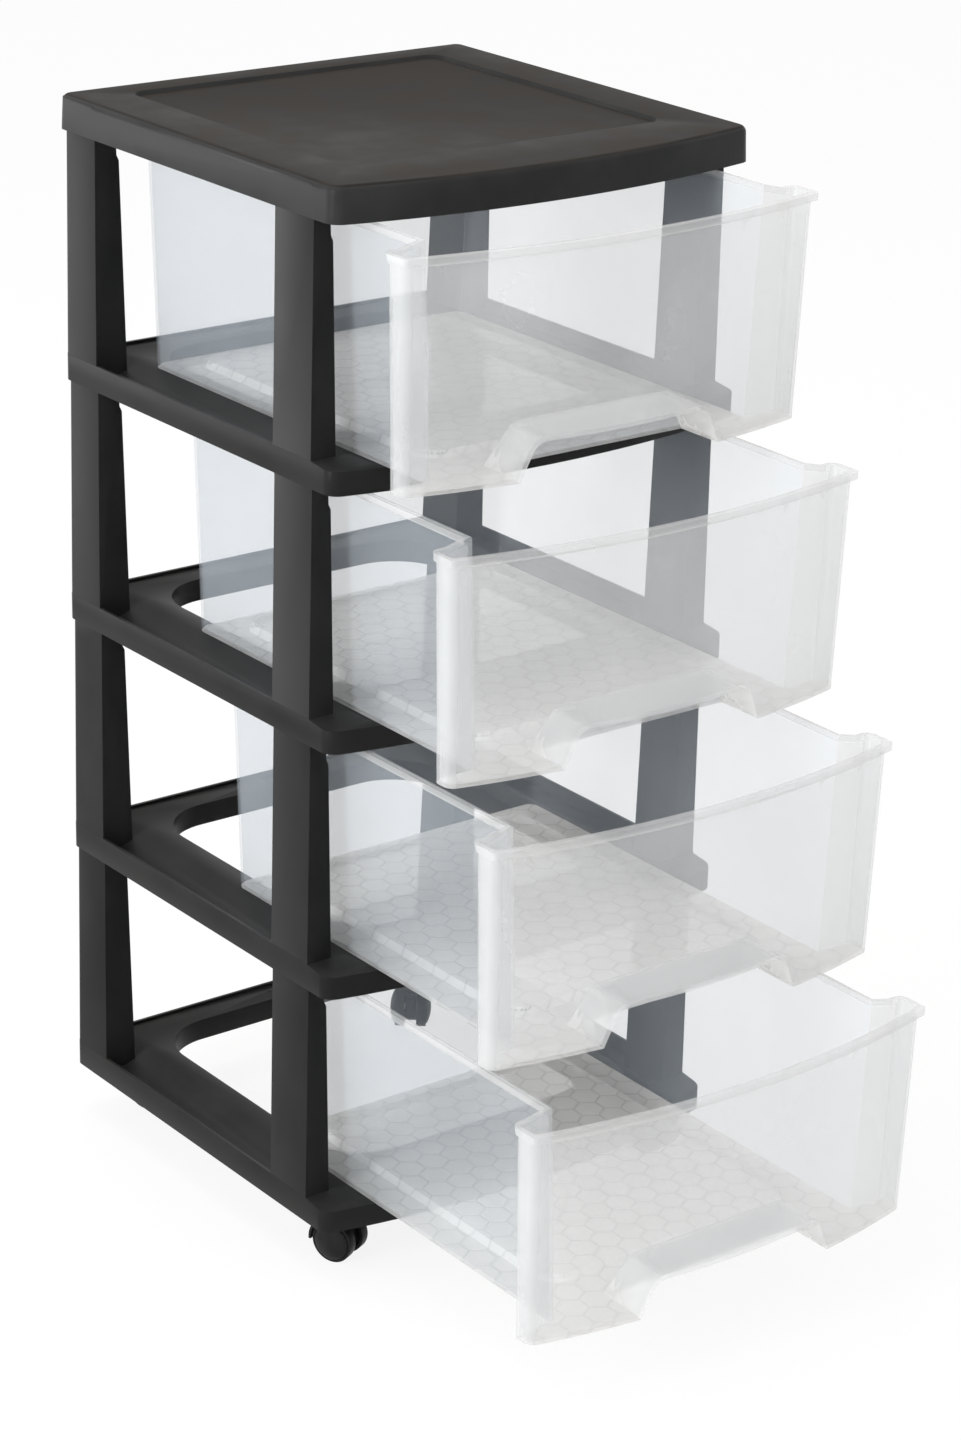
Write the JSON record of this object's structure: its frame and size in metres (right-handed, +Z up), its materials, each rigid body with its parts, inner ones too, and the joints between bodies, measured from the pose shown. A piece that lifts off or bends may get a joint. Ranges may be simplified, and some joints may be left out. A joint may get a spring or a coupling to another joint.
{
  "type": "drawer tower",
  "caption": "Plastic tower of stacking open frames with a lid, holding translucent bow-fronted drawers, on twin-wheel castors.",
  "frame": {"origin": "on the floor, under the middle of the tower's overall box as it stands with its drawers drawn out", "axes": "+Z up, +X to the right of someone facing the drawers, -Y the way the drawers open"},
  "size_m": [0.367, 0.6141, 0.826],
  "materials": {
    "black_plastic": "fine satin moulded polypropylene, black",
    "clear_plastic": "milky translucent polypropylene",
    "castor_plastic": "black nylon, satin",
    "steel": "bright zinc-plated steel"
  },
  "bodies": {
    "frame": {"lid": "black_plastic", "frame_tier_1": "black_plastic", "frame_tier_2": "black_plastic", "frame_tier_3": "black_plastic", "frame_tier_4": "black_plastic", "castor_front_left_stem": "steel", "castor_front_right_stem": "steel", "castor_back_left_stem": "steel", "castor_back_right_stem": "steel"},
    "drawer_1_box": {"drawer_1": "clear_plastic"},
    "drawer_2_box": {"drawer_2": "clear_plastic"},
    "drawer_3_box": {"drawer_3": "clear_plastic"},
    "drawer_4_box": {"drawer_4": "clear_plastic"},
    "castor_front_left_swivel": {"castor_front_left_fork": "castor_plastic", "castor_front_left_axle": "steel"},
    "castor_front_left_left_roller": {"castor_front_left_wheel_left": "castor_plastic"},
    "castor_front_left_right_roller": {"castor_front_left_wheel_right": "castor_plastic"},
    "castor_front_right_swivel": {"castor_front_right_fork": "castor_plastic", "castor_front_right_axle": "steel"},
    "castor_front_right_left_roller": {"castor_front_right_wheel_left": "castor_plastic"},
    "castor_front_right_right_roller": {"castor_front_right_wheel_right": "castor_plastic"},
    "castor_back_left_swivel": {"castor_back_left_fork": "castor_plastic", "castor_back_left_axle": "steel"},
    "castor_back_left_left_roller": {"castor_back_left_wheel_left": "castor_plastic"},
    "castor_back_left_right_roller": {"castor_back_left_wheel_right": "castor_plastic"},
    "castor_back_right_swivel": {"castor_back_right_fork": "castor_plastic", "castor_back_right_axle": "steel"},
    "castor_back_right_left_roller": {"castor_back_right_wheel_left": "castor_plastic"},
    "castor_back_right_right_roller": {"castor_back_right_wheel_right": "castor_plastic"}
  },
  "joints": [
    {"name": "drawer_1_slide", "type": "slide", "parent": "frame", "child": "drawer_1_box", "axis": [0, -1, 0], "range_m": [-0.057, 0.188]},
    {"name": "drawer_2_slide", "type": "slide", "parent": "frame", "child": "drawer_2_box", "axis": [0, -1, 0], "range_m": [-0.115, 0.13]},
    {"name": "drawer_3_slide", "type": "slide", "parent": "frame", "child": "drawer_3_box", "axis": [0, -1, 0], "range_m": [-0.168, 0.077]},
    {"name": "drawer_4_slide", "type": "slide", "parent": "frame", "child": "drawer_4_box", "axis": [0, -1, 0], "range_m": [-0.22, 0.025]},
    {"name": "castor_front_left_turn", "type": "hinge", "parent": "frame", "child": "castor_front_left_swivel", "pos_m": [-0.153, -0.0034, 0.03], "axis": [0, 0, 1], "continuous": true},
    {"name": "castor_front_left_left_roll", "type": "hinge", "parent": "castor_front_left_swivel", "child": "castor_front_left_left_roller", "pos_m": [-0.14771, -0.01528, 0.0165], "axis": [0.9135, 0.4067, 0], "continuous": true},
    {"name": "castor_front_left_right_roll", "type": "hinge", "parent": "castor_front_left_swivel", "child": "castor_front_left_right_roller", "pos_m": [-0.14771, -0.01528, 0.0165], "axis": [0.9135, 0.4067, 0], "continuous": true},
    {"name": "castor_front_right_turn", "type": "hinge", "parent": "frame", "child": "castor_front_right_swivel", "pos_m": [0.153, -0.0034, 0.03], "axis": [0, 0, 1], "continuous": true},
    {"name": "castor_front_right_left_roll", "type": "hinge", "parent": "castor_front_right_swivel", "child": "castor_front_right_left_roller", "pos_m": [0.15481, -0.01627, 0.0165], "axis": [0.9903, 0.1392, 0], "continuous": true},
    {"name": "castor_front_right_right_roll", "type": "hinge", "parent": "castor_front_right_swivel", "child": "castor_front_right_right_roller", "pos_m": [0.15481, -0.01627, 0.0165], "axis": [0.9903, 0.1392, 0], "continuous": true},
    {"name": "castor_back_left_turn", "type": "hinge", "parent": "frame", "child": "castor_back_left_swivel", "pos_m": [-0.1365, 0.2836, 0.03], "axis": [0, 0, 1], "continuous": true},
    {"name": "castor_back_left_left_roll", "type": "hinge", "parent": "castor_back_left_swivel", "child": "castor_back_left_left_roller", "pos_m": [-0.1285, 0.27336, 0.0165], "axis": [0.788, 0.6157, 0], "continuous": true},
    {"name": "castor_back_left_right_roll", "type": "hinge", "parent": "castor_back_left_swivel", "child": "castor_back_left_right_roller", "pos_m": [-0.1285, 0.27336, 0.0165], "axis": [0.788, 0.6157, 0], "continuous": true},
    {"name": "castor_back_right_turn", "type": "hinge", "parent": "frame", "child": "castor_back_right_swivel", "pos_m": [0.1365, 0.2836, 0.03], "axis": [0, 0, 1], "continuous": true},
    {"name": "castor_back_right_left_roll", "type": "hinge", "parent": "castor_back_right_swivel", "child": "castor_back_right_left_roller", "pos_m": [0.1285, 0.27336, 0.0165], "axis": [0.788, -0.6157, 0], "continuous": true},
    {"name": "castor_back_right_right_roll", "type": "hinge", "parent": "castor_back_right_swivel", "child": "castor_back_right_right_roller", "pos_m": [0.1285, 0.27336, 0.0165], "axis": [0.788, -0.6157, 0], "continuous": true}
  ]
}
